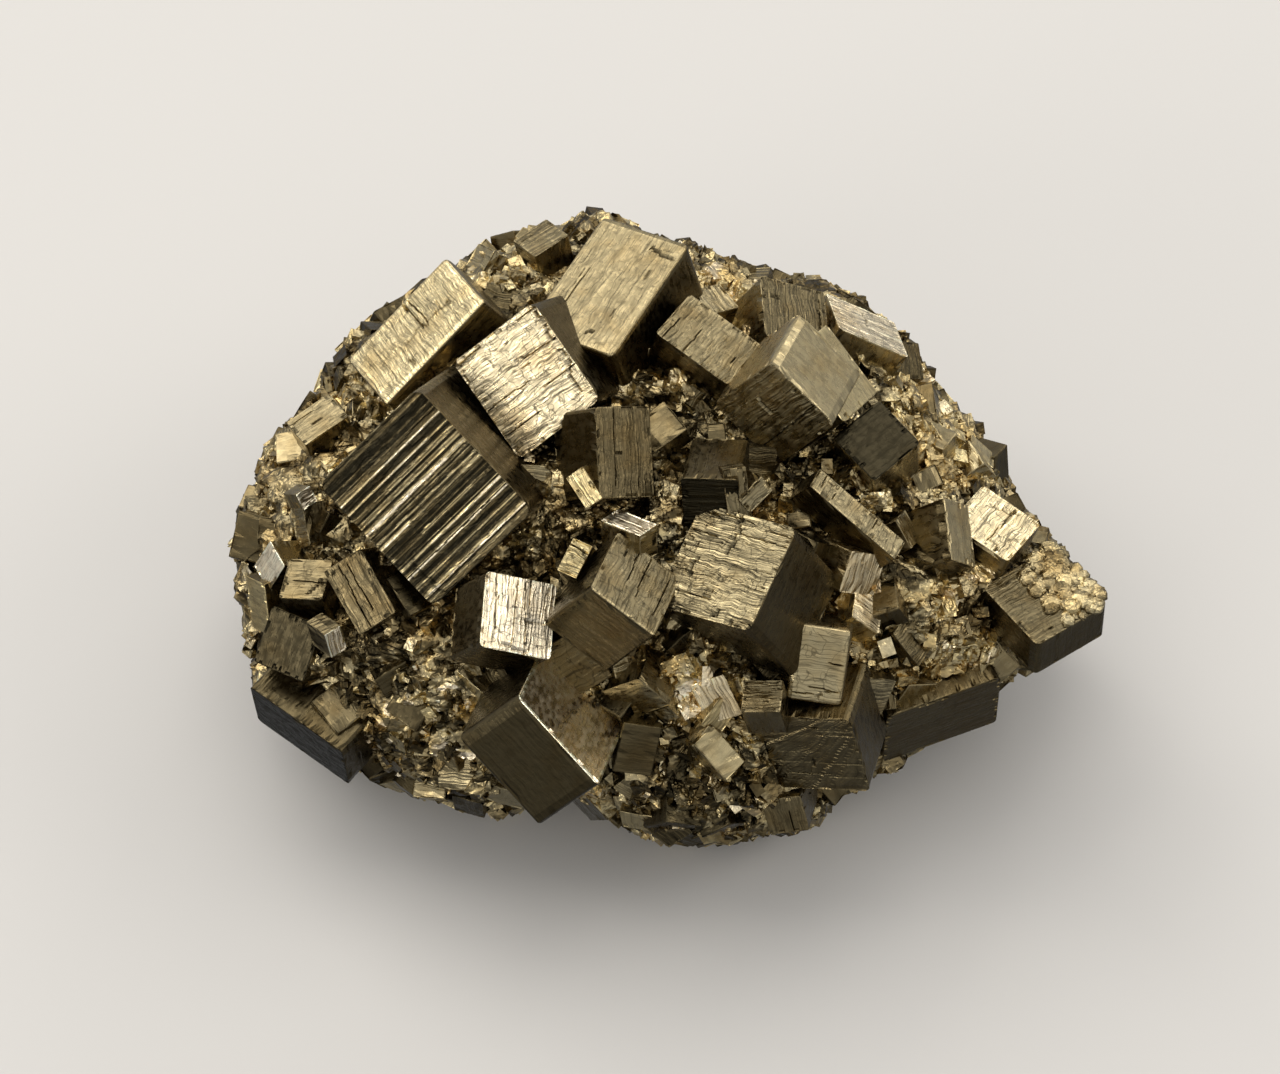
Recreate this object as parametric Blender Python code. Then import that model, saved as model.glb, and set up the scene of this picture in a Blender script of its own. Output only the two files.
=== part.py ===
"""Pyrite specimen: one cluster of intergrown striated cubes on a flat cut base."""

import math
import random
from collections import namedtuple

import bmesh
import bpy
from mathutils import Matrix, Vector, noise

MM = 0.001

# Overall size of the specimen
BODY_HEIGHT = 13.4 * MM
BODY_HALF_DEPTH = 18.8 * MM
BODY_SHEAR = -0.227
MASS_SINK = 2.6 * MM
MASS_INSET = 0.955
MASS_LUMP = 1.3 * MM
BASE_CUTTER = 120.0 * MM

# Picture of the front: how picture points become places on the specimen
PIXELS_PER_MM = 15.0
PICTURE_CENTRE = Vector((640.0, 537.0))
BODY_CENTRE = Vector((664.0, 531.0))
VIEW_ELEVATION = math.radians(50.0)
VIEW_DISTANCE = 355.0 * MM

# Outline of the whole cluster, clockwise from its left end, in picture points
OUTLINE = (
    (226, 570), (232, 520), (252, 455), (300, 398), (340, 334), (400, 290), (475, 240), (546, 217),
    (612, 208), (700, 250), (820, 273), (895, 318), (928, 367), (975, 415), (1003, 468), (1058, 543),
    (1102, 597), (1078, 650), (994, 700), (918, 755), (859, 797), (782, 843), (655, 853), (580, 803),
    (480, 820), (385, 790), (300, 745), (247, 690),
)

# One crystal seen from the front. Its seen face has a corner and two edges from that corner, as picture
# points. `ratio` is the true length of edge b over that of edge a, `lean` names the edge that rises to the
# viewer (+) or falls away (-), `thick` is the crystal's size behind the face and `proud` how far the face
# stands out of the mass. `ledges` is a number of low growth steps on the face.
Crystal = namedtuple("Crystal", "name corner end_a end_b ratio lean thick proud ledges")

CRYSTALS = (
    Crystal("striated cube", (316, 485), (418, 388), (432, 608), 1.12, "a+", 9.0, 2.0, 5),
    Crystal("bright cube", (451, 362), (533, 302), (519, 460), 1.10, "b+", 7.5, 2.4, 3),
    Crystal("top cube", (602, 211), (690, 243), (524, 327), 1.45, "a+", 5.5, 3.4, 3),
    Crystal("gold block", (344, 358), (444, 254), (386, 406), 0.62, "b+", 6.0, 1.6, 2),
    Crystal("small gold block", (285, 422), (328, 392), (306, 446), 0.75, "b+", 3.5, 0.9, 0),
    Crystal("back block", (512, 240), (546, 217), (535, 258), 0.90, "b+", 4.0, 1.0, 0),
    Crystal("golden slab", (655, 333), (690, 292), (728, 386), 1.50, "a-", 3.5, 2.0, 1),
    Crystal("ridge block", (690, 290), (720, 282), (710, 315), 1.00, "a-", 3.0, 1.0, 0),
    Crystal("back slab", (760, 275), (826, 290), (765, 338), 0.95, "b+", 5.0, 0.8, 1),
    Crystal("back right block", (826, 292), (897, 320), (838, 330), 0.75, "b+", 5.0, 1.0, 1),
    Crystal("back right corner", (890, 340), (920, 342), (895, 378), 1.10, "a-", 4.0, 0.8, 0),
    Crystal("smooth grey cube", (791, 355), (828, 322), (843, 424), 1.00, "a-", 5.6, 2.2, 0),
    Crystal("dark etched cube", (770, 363), (713, 404), (835, 425), 1.00, "a-", 5.6, 1.6, 0),
    Crystal("dark cube", (880, 399), (921, 443), (832, 438), 1.00, "a+", 4.6, 1.4, 0),
    Crystal("upright grey block", (595, 407), (650, 405), (600, 499), 1.40, "a-", 5.0, 1.0, 1),
    Crystal("dark facet", (680, 478), (738, 480), (684, 538), 1.20, "b-", 5.0, -0.4, 0),
    Crystal("olive prism", (722, 470), (746, 466), (730, 532), 2.60, "a-", 3.0, 0.8, 0),
    Crystal("gold ridge", (738, 500), (762, 476), (750, 514), 0.60, "a-", 2.5, 0.9, 0),
    Crystal("middle grey cube", (590, 588), (618, 530), (655, 637), 1.00, "a-", 5.6, 1.6, 1),
    Crystal("small striated block", (573, 537), (593, 546), (556, 570), 1.60, "a+", 3.0, 0.8, 0),
    Crystal("small white block", (565, 478), (582, 466), (586, 510), 1.70, "a+", 2.6, 1.2, 0),
    Crystal("small bright band", (600, 520), (618, 508), (640, 536), 1.80, "a-", 2.2, 0.4, 0),
    Crystal("front bright cube", (486, 570), (557, 585), (480, 646), 1.00, "a-", 4.6, 1.2, 1),
    Crystal("bright striated cube", (797, 528), (702, 502), (748, 631), 1.00, "a-", 7.0, 1.2, 4),
    Crystal("striated bar", (809, 486), (820, 468), (896, 560), 4.50, "a-", 2.6, 0.8, 0),
    Crystal("tall grey face", (943, 497), (970, 505), (950, 560), 1.60, "a-", 4.0, 0.8, 0),
    Crystal("right bright cube", (985, 484), (1043, 524), (948, 522), 1.00, "b+", 4.8, 1.6, 1),
    Crystal("right wing block", (982, 587), (1056, 546), (1034, 645), 1.00, "a-", 3.2, 2.0, 2),
    Crystal("grey lump", (795, 622), (852, 630), (785, 700), 1.40, "b-", 5.0, 0.6, 0),
    Crystal("small grey lump", (744, 680), (784, 680), (740, 712), 0.90, "b+", 3.0, 0.5, 0),
    Crystal("fanned facet", (748, 715), (848, 718), (772, 790), 1.00, "b-", 5.0, 0.3, 2),
    Crystal("lower right face", (884, 716), (1000, 676), (884, 764), 0.70, "b-", 3.5, 0.2, 0),
    Crystal("lower slab", (519, 695), (545, 638), (600, 785), 1.00, "a-", 5.2, 1.4, 1),
    Crystal("brown cube", (272, 605), (323, 626), (252, 662), 1.10, "b-", 4.0, 0.8, 0),
    Crystal("left block a", (288, 558), (333, 560), (278, 598), 0.95, "b+", 3.2, 0.7, 0),
    Crystal("left block b", (360, 548), (397, 612), (322, 572), 0.64, "a+", 4.2, 0.6, 1),
    Crystal("small block c", (325, 635), (341, 625), (331, 659), 1.50, "a-", 2.2, 0.6, 0),
    Crystal("left bright facet", (270, 540), (286, 566), (252, 566), 1.10, "b-", 3.0, 0.4, 0),
    Crystal("left grey face", (245, 575), (266, 584), (250, 628), 1.60, "a+", 4.0, 0.4, 0),
    Crystal("small gold cube", (296, 495), (310, 485), (304, 511), 1.00, "a-", 1.8, 0.6, 0),
    Crystal("lower left flank", (250, 686), (345, 750), (254, 722), 0.60, "b-", 3.0, 0.2, 0),
    Crystal("lower edge facet", (760, 800), (800, 795), (770, 836), 1.00, "b-", 4.0, 0.3, 0),
)

# Small crystals that fill the mass between the named ones, and larger ones on the side turned away
SEED = 41
FRONT_TRIES = 520
FRONT_EDGE = (1.3 * MM, 3.2 * MM)
REAR_TRIES = 170
REAR_EDGE = (3.5 * MM, 8.5 * MM)
REAR_SMALL_TRIES = 330
REAR_SMALL_EDGE = (1.8 * MM, 3.6 * MM)
CLEAR_OF_BASE = 1.2 * MM
SHRINKS = (1.0, 0.8, 0.6, 0.45)

RIGHT = Vector((1.0, 0.0, 0.0))
UP = Vector((0.0, math.sin(VIEW_ELEVATION), math.cos(VIEW_ELEVATION)))
TOWARD = Vector((0.0, -math.cos(VIEW_ELEVATION), math.sin(VIEW_ELEVATION)))


def clear_scene():
    """Remove every object, so that the script can be run again."""
    for item in list(bpy.data.objects):
        bpy.data.objects.remove(item, do_unlink=True)


def on_plane(point):
    """A picture point as metres across and up from the middle of the picture."""
    across = (point[0] - PICTURE_CENTRE.x) / PIXELS_PER_MM * MM
    up = (PICTURE_CENTRE.y - point[1]) / PIXELS_PER_MM * MM
    return Vector((across, up))


MIDDLE = on_plane(BODY_CENTRE)
PICTURE_TARGET = Vector((0.0, 0.0, BODY_HEIGHT)) - RIGHT * MIDDLE.x - UP * MIDDLE.y
OUTLINE_PLANE = [on_plane(point) - MIDDLE for point in OUTLINE]


def in_space(flat, depth):
    """The place in space of a plane point that lies `depth` nearer to the viewer than the middle."""
    shrink = 1.0 - depth / VIEW_DISTANCE
    return PICTURE_TARGET + (RIGHT * flat.x + UP * flat.y) * shrink + TOWARD * depth


def cross(first, second):
    """Cross product of two plane vectors."""
    return first.x * second.y - first.y * second.x


def outline_reach(direction):
    """How far the outline lies from the body's middle in a plane direction."""
    best = 0.0
    for index, start in enumerate(OUTLINE_PLANE):
        side = OUTLINE_PLANE[(index + 1) % len(OUTLINE_PLANE)] - start
        turn = cross(direction, side)
        if abs(turn) < 1e-12:
            continue
        along = cross(start, side) / turn
        share = cross(start, direction) / turn
        if along > 0.0 and 0.0 <= share <= 1.0:
            best = max(best, along)
    return best


def dome_depth(flat):
    """Depth of the front of the mass at a plane point."""
    offset = flat - MIDDLE
    if offset.length < 1e-9:
        return BODY_HALF_DEPTH
    radius = min(offset.length / outline_reach(offset.normalized()), 0.97)
    return BODY_SHEAR * offset.y + BODY_HALF_DEPTH * math.sqrt(1.0 - radius * radius)


def body_point(direction):
    """The point of the mass in a direction of a unit sphere whose third axis runs to the viewer."""
    flat = Vector((direction[0], direction[1]))
    reach = outline_reach(flat.normalized()) * MASS_INSET if flat.length > 1e-9 else 0.0
    offset = flat * reach
    return in_space(MIDDLE + offset, BODY_SHEAR * offset.y + (BODY_HALF_DEPTH - MASS_SINK) * direction[2])


def inside_outline(point):
    """Whether a place in space is seen within the outline from the front."""
    offset = point - PICTURE_TARGET
    shrink = 1.0 - offset.dot(TOWARD) / VIEW_DISTANCE
    flat = Vector((offset.dot(RIGHT), offset.dot(UP))) / shrink - MIDDLE
    return flat.length < outline_reach(flat.normalized())


def face_edges(crystal):
    """Centre and true edge vectors of a crystal's seen face, from its edges being square to each other."""
    corner = on_plane(crystal.corner)
    flat_a = on_plane(crystal.end_a) - corner
    flat_b = on_plane(crystal.end_b) - corner
    dot = flat_a.dot(flat_b)
    square = crystal.ratio ** 2
    total = flat_b.length_squared + square * flat_a.length_squared
    spread = total ** 2 - 4.0 * square * (flat_a.length_squared * flat_b.length_squared - dot ** 2)
    edge_squared = (total + math.sqrt(max(spread, 0.0))) / (2.0 * square)
    rise_a = math.sqrt(max(edge_squared - flat_a.length_squared, 0.0))
    rise_b = math.sqrt(max(square * edge_squared - flat_b.length_squared, 0.0))
    opposite = -1.0 if dot > 0.0 else 1.0
    given = 1.0 if crystal.lean[1] == "+" else -1.0
    sign_a, sign_b = (given, given * opposite) if crystal.lean[0] == "a" else (given * opposite, given)
    middle = corner + (flat_a + flat_b) / 2.0
    depth = dome_depth(middle) + crystal.proud * MM
    shrink = 1.0 - depth / VIEW_DISTANCE
    edge_a = (RIGHT * flat_a.x + UP * flat_a.y + TOWARD * rise_a * sign_a) * shrink
    edge_b = (RIGHT * flat_b.x + UP * flat_b.y + TOWARD * rise_b * sign_b) * shrink
    return in_space(middle, depth), edge_a, edge_b


def add_block(name, collection, face_centre, edge_a, edge_b, inward):
    """A box whose outer face has the given centre and edges, and which runs `inward` behind it."""
    if edge_a.cross(edge_b).dot(inward) < 0.0:
        edge_a, edge_b = edge_b, edge_a
    shape = Matrix((edge_a, edge_b, inward)).transposed().to_4x4()
    shape.translation = face_centre + inward / 2.0
    mesh = bpy.data.meshes.new(name)
    builder = bmesh.new()
    bmesh.ops.create_cube(builder, size=1.0, matrix=shape)
    builder.to_mesh(mesh)
    builder.free()
    block = bpy.data.objects.new(name, mesh)
    block.hide_render = True
    block.display_type = "WIRE"
    collection.objects.link(block)
    return block


def add_ledges(crystal, collection, centre, edge_a, edge_b, outward, source):
    """Low growth steps across a face: plates of unequal width that stand a little higher."""
    start = 0.02
    for index in range(crystal.ledges):
        width = (0.94 - start) / (crystal.ledges - index) * source.uniform(0.55, 1.0)
        height = source.uniform(0.06, 0.20) * MM
        middle = centre + edge_b * (start + width / 2.0 - 0.5) + outward * height
        length = source.uniform(0.86, 0.97)
        shift = edge_a * (0.97 - length) / 2.0 * source.choice((-1.0, 1.0))
        add_block(f"{crystal.name} ledge {index}", collection, middle + shift, edge_a * length,
                  edge_b * width, -outward * (height + 0.5 * MM))
        start += width + source.uniform(0.01, 0.02)


def add_named_crystals(collection):
    """The crystals that can be told apart from the front."""
    source = random.Random(SEED)
    for crystal in CRYSTALS:
        centre, edge_a, edge_b = face_edges(crystal)
        outward = edge_a.cross(edge_b).normalized()
        if outward.dot(TOWARD) < 0.0:
            outward.negate()
        add_block(crystal.name, collection, centre, edge_a, edge_b, -outward * crystal.thick * MM)
        add_ledges(crystal, collection, centre, edge_a, edge_b, outward, source)


def covered(flat, margin):
    """Whether a plane point lies on a named crystal's seen face, widened by a share of its edges."""
    for crystal in CRYSTALS:
        corner = on_plane(crystal.corner)
        flat_a = on_plane(crystal.end_a) - corner
        flat_b = on_plane(crystal.end_b) - corner
        area = cross(flat_a, flat_b)
        offset = flat - corner
        share_a = cross(offset, flat_b) / area
        share_b = cross(flat_a, offset) / area
        if -margin < share_a < 1.0 + margin and -margin < share_b < 1.0 + margin:
            return True
    return False


def sphere_direction(index, count, source):
    """Evenly spread directions, each moved a little at random."""
    height = 1.0 - 2.0 * (index + 0.5) / count
    turn = index * math.pi * (3.0 - math.sqrt(5.0)) + source.uniform(-0.3, 0.3)
    height = max(-0.995, min(0.995, height + source.uniform(-0.6, 0.6) / math.sqrt(count)))
    ring = math.sqrt(1.0 - height * height)
    return Vector((ring * math.cos(turn), ring * math.sin(turn), height))


def add_scattered_crystals(collection, label, tries, edges, front, source):
    """Crystals spread over one side of the mass, half sunk in it and none outside the outline."""
    centre = Vector((0.0, 0.0, BODY_HEIGHT))
    for index in range(tries):
        direction = sphere_direction(index, tries, source)
        size = source.uniform(*edges)
        tilt = Vector([source.gauss(0.0, 0.4) for _ in range(3)])
        spin = source.uniform(0.0, math.pi)
        stretch = source.uniform(0.7, 1.3)
        rise = source.uniform(0.15, 0.4)
        if direction.z < -0.1 if front else direction.z > 0.15:
            continue
        point = body_point(direction)
        flat = Vector((direction.x, direction.y))
        if front and covered(MIDDLE + flat * outline_reach(flat.normalized()) * MASS_INSET, 0.1):
            continue
        outward = ((point - centre).normalized() + tilt).normalized()
        unit_a = outward.orthogonal().normalized()
        unit_a.rotate(Matrix.Rotation(spin, 3, outward))
        unit_b = outward.cross(unit_a).normalized() * stretch
        for edge in [size * shrink for shrink in SHRINKS]:
            face = point + outward * edge * rise
            corners = [face + (unit_a * side_a + unit_b * side_b) * edge / 2.0
                       for side_a in (-1.0, 1.0) for side_b in (-1.0, 1.0)]
            if all(inside_outline(corner) and corner.z > CLEAR_OF_BASE for corner in corners):
                add_block(f"{label} {index}", collection, face, unit_a * edge, unit_b * edge,
                          -outward * edge * 1.3)
                break


def make_mass(collection):
    """The lumpy mass that the crystals grow from, with its outline taken from the picture."""
    builder = bmesh.new()
    bmesh.ops.create_icosphere(builder, subdivisions=3, radius=1.0)
    for vertex in builder.verts:
        direction = vertex.co.normalized()
        point = body_point(direction)
        lump = noise.noise(point / (5.0 * MM)) + 0.5 * noise.noise(point / (2.2 * MM))
        outward = (point - Vector((0.0, 0.0, BODY_HEIGHT))).normalized()
        vertex.co = point + outward * lump * MASS_LUMP
    mesh = bpy.data.meshes.new("pyrite_cluster")
    builder.to_mesh(mesh)
    builder.free()
    body = bpy.data.objects.new("pyrite_cluster", mesh)
    collection.objects.link(body)
    return body


def keep_outer_shell(mesh):
    """Drop closed pockets and loose scraps that the union leaves, so that one closed body stays."""
    builder = bmesh.new()
    builder.from_mesh(mesh)
    left = set(builder.faces)
    shells = []
    while left:
        front = [left.pop()]
        shell = list(front)
        while front:
            face = front.pop()
            for edge in face.edges:
                for other in edge.link_faces:
                    if other in left:
                        left.remove(other)
                        front.append(other)
                        shell.append(other)
        shells.append(shell)
    shells.sort(key=len)
    for shell in shells[:-1]:
        bmesh.ops.delete(builder, geom=shell, context="FACES")
    loose = [vertex for vertex in builder.verts if not vertex.link_faces]
    bmesh.ops.delete(builder, geom=loose, context="VERTS")
    builder.to_mesh(mesh)
    builder.free()


def pyrite_material():
    """Pale brass-yellow pyrite with a metallic lustre."""
    material = bpy.data.materials.new("pyrite")
    material.use_nodes = True
    surface = material.node_tree.nodes["Principled BSDF"]
    surface.inputs["Base Color"].default_value = (0.42, 0.35, 0.20, 1.0)
    surface.inputs["Metallic"].default_value = 1.0
    surface.inputs["Roughness"].default_value = 0.32
    return material


def main():
    clear_scene()
    specimen = bpy.data.collections.new("Pyrite specimen")
    blanks = bpy.data.collections.new("Crystal blanks")
    cutters = bpy.data.collections.new("Cutters")
    for collection in (specimen, blanks, cutters):
        bpy.context.scene.collection.children.link(collection)

    source = random.Random(SEED + 1)
    add_named_crystals(blanks)
    add_scattered_crystals(blanks, "small crystal", FRONT_TRIES, FRONT_EDGE, True, source)
    add_scattered_crystals(blanks, "rear crystal", REAR_TRIES, REAR_EDGE, False, source)
    add_scattered_crystals(blanks, "small rear crystal", REAR_SMALL_TRIES, REAR_SMALL_EDGE, False, source)

    body = make_mass(specimen)
    grow = body.modifiers.new("Grow crystals", "BOOLEAN")
    grow.operation = "UNION"
    grow.solver = "EXACT"
    grow.operand_type = "COLLECTION"
    grow.collection = blanks

    floor = add_block("base cutter", cutters, Vector((0.0, 0.0, 0.0)), RIGHT * BASE_CUTTER,
                      Vector((0.0, BASE_CUTTER, 0.0)), Vector((0.0, 0.0, -BASE_CUTTER)))
    cut = body.modifiers.new("Cut base flat", "BOOLEAN")
    cut.operation = "DIFFERENCE"
    cut.solver = "EXACT"
    cut.object = floor

    bpy.context.view_layer.update()
    grown = bpy.data.meshes.new_from_object(body.evaluated_get(bpy.context.evaluated_depsgraph_get()))
    body.modifiers.clear()
    body.data = grown
    keep_outer_shell(grown)
    grown.materials.clear()
    grown.materials.append(pyrite_material())


main()
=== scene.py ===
"""Pyrite specimen: striated cubes, small crystals and druse on a granular mass, on a plain pale stage."""

import math
import random
from collections import namedtuple

import bmesh
import bpy
import numpy as np
from bpy.props import FloatProperty, IntProperty, PointerProperty, StringProperty
from mathutils import Matrix, Vector, noise


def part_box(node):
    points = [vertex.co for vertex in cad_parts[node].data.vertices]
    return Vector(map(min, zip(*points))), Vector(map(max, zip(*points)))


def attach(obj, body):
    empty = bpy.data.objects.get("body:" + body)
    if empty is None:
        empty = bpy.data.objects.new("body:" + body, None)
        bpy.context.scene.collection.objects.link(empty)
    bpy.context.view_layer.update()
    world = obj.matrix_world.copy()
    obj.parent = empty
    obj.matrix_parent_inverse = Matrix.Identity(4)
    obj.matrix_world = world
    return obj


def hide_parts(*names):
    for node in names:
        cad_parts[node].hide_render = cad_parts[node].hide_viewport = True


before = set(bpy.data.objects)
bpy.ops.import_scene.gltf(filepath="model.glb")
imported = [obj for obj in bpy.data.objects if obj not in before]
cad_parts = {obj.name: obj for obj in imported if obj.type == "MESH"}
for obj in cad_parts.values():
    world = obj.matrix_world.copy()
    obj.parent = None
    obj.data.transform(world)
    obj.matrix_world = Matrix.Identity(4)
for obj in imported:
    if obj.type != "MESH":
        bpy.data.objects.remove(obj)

bl_info = {
    "name": "Pyrite specimen",
    "version": (1, 0, 0),
    "blender": (4, 5, 0),
    "location": "3D View > Sidebar > Pyrite",
    "description": "Builds a cluster of striated pyrite cubes with druse, and a plain studio stage",
    "category": "Add Mesh",
}

MM = 0.001
NODE = "pyrite_cluster"
LOW, HIGH = (Vector(corner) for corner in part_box(NODE))

# Overall size of the specimen
BODY_HEIGHT = 13.4 * MM
BODY_HALF_DEPTH = 18.8 * MM
BODY_SHEAR = -0.227
MASS_SINK = 2.6 * MM
MASS_INSET = 0.955
MASS_LUMP = 1.3 * MM

# Picture of the front: how picture points become places on the specimen
PIXELS_PER_MM = 15.0
PICTURE_CENTRE = Vector((640.0, 537.0))
PICTURE_WIDTH = 1280.0
BODY_CENTRE = Vector((664.0, 531.0))
VIEW_ELEVATION = math.radians(50.0)
VIEW_DISTANCE = 355.0 * MM
SENSOR_WIDTH = 36.0

# Outline of the whole cluster, clockwise from its left end, in picture points
OUTLINE = (
    (226, 570), (232, 520), (252, 455), (300, 398), (340, 334), (400, 290), (475, 240), (546, 217),
    (612, 208), (700, 250), (820, 273), (895, 318), (928, 367), (975, 415), (1003, 468), (1058, 543),
    (1102, 597), (1078, 650), (994, 700), (918, 755), (859, 797), (782, 843), (655, 853), (580, 803),
    (480, 820), (385, 790), (300, 745), (247, 690),
)

# One crystal seen from the front. Its seen face has a corner and two edges from that corner, as picture
# points. `ratio` is the true length of edge b over that of edge a, `lean` names the edge that rises to the
# viewer (+) or falls away (-), `thick` is the crystal's size behind the face in millimetres and `proud`
# how far the face stands out of the mass. `ridges` names the edge that its growth ridges run along,
# `tone` is how bright the face's lustre is painted, a painted reflection set face by face,
# `side_tone` is the painted shade of the faces beside it and `finish` how it grew.
Crystal = namedtuple("Crystal", "name corner end_a end_b ratio lean thick proud ridges tone side_tone finish")

CRYSTALS = tuple(Crystal(*row) for row in (
    ("striated cube", (316, 485), (418, 388), (432, 608), 1.12, "a+", 9.0, 2.0, "a", 0.0, 0.2, "bold"),
    ("bright cube", (451, 362), (533, 302), (519, 460), 1.1, "b+", 7.5, 2.4, "a", 0.87, 0.19, "lined"),
    ("top cube", (602, 211), (690, 243), (524, 327), 1.45, "a+", 5.5, 3.4, "b", 0.41, 0.2, "etched"),
    ("gold block", (344, 358), (444, 254), (386, 406), 0.62, "b+", 6.0, 1.6, "b", 0.8, 0.34, "striated"),
    ("small gold block", (285, 422), (328, 392), (306, 446), 0.75, "b+", 3.5, 0.9, "a", 0.4, 0.4, "etched"),
    ("back block", (512, 240), (546, 217), (535, 258), 0.9, "b+", 4.0, 1.0, "a", 0.39, 0.34, "etched"),
    ("golden slab", (655, 333), (690, 292), (728, 386), 1.5, "a-", 3.5, 2.0, "a", 0.4, 0.24, "striated"),
    ("ridge block", (690, 290), (720, 282), (710, 315), 1.0, "a-", 3.0, 1.0, "b", 0.47, 0.42, "striated"),
    ("back slab", (760, 275), (826, 290), (765, 338), 0.95, "b+", 5.0, 0.8, "b", 0.32, 0.4, "striated"),
    ("back right block", (826, 292), (897, 320), (838, 330), 0.75, "b+", 5.0, 1.0, "a", 0.95, 0.42, "striated"),
    ("back right corner", (890, 340), (920, 342), (895, 378), 1.1, "a-", 4.0, 0.8, "b", 0.14, 0.36, "etched"),
    ("smooth grey cube", (791, 355), (828, 322), (843, 424), 1.0, "a-", 5.6, 2.2, "b", 0.62, 0.1, "smooth"),
    ("dark etched cube", (770, 363), (713, 404), (835, 425), 1.0, "a-", 5.6, 1.6, "a", 0.44, 0.5, "etched"),
    ("dark cube", (880, 399), (921, 443), (832, 438), 1.0, "a+", 4.6, 1.4, "b", 0.01, 0.4, "smooth"),
    ("upright grey block", (595, 407), (650, 405), (600, 499), 1.4, "a-", 5.0, 1.0, "b", 0.29, 0.18, "etched"),
    ("dark facet", (680, 478), (738, 480), (684, 538), 1.2, "b-", 5.0, -0.4, "a", 0.0, 0.26, "etched"),
    ("olive prism", (722, 470), (746, 466), (730, 532), 2.6, "a-", 3.0, 0.8, "b", 0.36, 0.28, "striated"),
    ("gold ridge", (738, 500), (762, 476), (750, 514), 0.6, "a-", 2.5, 0.9, "a", 0.5, 0.36, "striated"),
    ("middle grey cube", (590, 588), (618, 530), (655, 637), 1.0, "a-", 5.6, 1.6, "a", 0.41, 0.12, "blocky"),
    ("small striated block", (573, 537), (593, 546), (556, 570), 1.6, "a+", 3.0, 0.8, "a", 0.71, 0.3, "banded"),
    ("small white block", (565, 478), (582, 466), (586, 510), 1.7, "a+", 2.6, 1.2, "b", 0.7, 0.42, "etched"),
    ("small bright band", (600, 520), (618, 508), (640, 536), 1.8, "a-", 2.2, 0.4, "b", 1.0, 0.4, "etched"),
    ("front bright cube", (486, 570), (557, 585), (480, 646), 1.0, "a-", 4.6, 1.2, "b", 0.98, 0.26, "lined"),
    ("bright striated cube", (797, 528), (702, 502), (748, 631), 1.0, "a-", 7.0, 1.2, "a", 0.52, 0.16, "banded"),
    ("striated bar", (809, 486), (820, 468), (896, 560), 4.5, "a-", 2.6, 0.8, "a", 0.47, 0.26, "blocky"),
    ("tall grey face", (943, 497), (970, 505), (950, 560), 1.6, "a-", 4.0, 0.8, "b", 0.46, 0.26, "smooth"),
    ("right bright cube", (985, 484), (1043, 524), (948, 522), 1.0, "b+", 4.8, 1.6, "b", 0.84, 0.34, "lined"),
    ("right wing block", (982, 587), (1056, 546), (1034, 645), 1.0, "a-", 3.2, 2.0, "a", 0.35, 0.22, "etched"),
    ("grey lump", (795, 622), (852, 630), (785, 700), 1.4, "b-", 5.0, 0.6, "a", 0.52, 0.32, "blocky"),
    ("small grey lump", (744, 680), (784, 680), (740, 712), 0.9, "b+", 3.0, 0.5, "a", 0.37, 0.32, "etched"),
    ("fanned facet", (748, 715), (848, 718), (772, 790), 1.0, "b-", 5.0, 0.3, "a", 0.34, 0.28, "fanned"),
    ("lower right face", (884, 716), (1000, 676), (884, 764), 0.7, "b-", 3.5, 0.2, "a", 0.26, 0.18, "smooth"),
    ("lower slab", (519, 695), (545, 638), (600, 785), 1.0, "a-", 5.2, 1.4, "a", 1.0, 0.12, "smooth"),
    ("brown cube", (272, 605), (323, 626), (252, 662), 1.1, "b-", 4.0, 0.8, "b", 0.04, 0.24, "smooth"),
    ("left block a", (288, 558), (333, 560), (278, 598), 0.95, "b+", 3.2, 0.7, "a", 0.33, 0.24, "blocky"),
    ("left block b", (360, 548), (397, 612), (322, 572), 0.64, "a+", 4.2, 0.6, "a", 0.3, 0.28, "blocky"),
    ("small block c", (325, 635), (341, 625), (331, 659), 1.5, "a-", 2.2, 0.6, "b", 1.0, 0.32, "etched"),
    ("left bright facet", (270, 540), (286, 566), (252, 566), 1.1, "b-", 3.0, 0.4, "b", 1.0, 0.32, "etched"),
    ("left grey face", (245, 575), (266, 584), (250, 628), 1.6, "a+", 4.0, 0.4, "a", 0.74, 0.28, "smooth"),
    ("small gold cube", (296, 495), (310, 485), (304, 511), 1.0, "a-", 1.8, 0.6, "a", 1.0, 0.36, "striated"),
    ("lower left flank", (250, 686), (345, 750), (254, 722), 0.6, "b-", 3.0, 0.2, "a", 0.0, 0.16, "smooth"),
    ("lower edge facet", (760, 800), (800, 795), (770, 836), 1.0, "b-", 4.0, 0.3, "b", 0.32, 0.3, "etched"),
))

# Small crystals between the named ones, and larger ones on the side turned away
SEED = 41
FRONT_TRIES = 520
FRONT_EDGE = (1.3 * MM, 3.2 * MM)
REAR_TRIES = 170
REAR_EDGE = (3.5 * MM, 8.5 * MM)
REAR_SMALL_TRIES = 330
REAR_SMALL_EDGE = (1.8 * MM, 3.6 * MM)
CLEAR_OF_BASE = 1.2 * MM
SHRINKS = (1.0, 0.8, 0.6, 0.45)
SMALL_FINISHES = ("striated", "striated", "etched", "blocky", "smooth")

# How a face grew: the depth of its relief as a share of the ridge depth, and the strengths of its
# striation, bumped and painted as light and dark stripes, and of its cracks
FINISHES = {
    "striated": (0.70, 0.9, 0.45),
    "lined": (0.50, 0.75, 0.95),
    "banded": (0.90, 1.5, 1.0),
    "bold": (1.0, 0.5, 0.35),
    "side": (0.24, 0.18, 0.16),
    "fanned": (0.9, 0.9, 0.3),
    "etched": (0.50, 0.55, 0.45),
    "blocky": (0.35, 0.35, 0.75),
    "smooth": (0.15, 0.15, 0.35),
}

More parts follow.
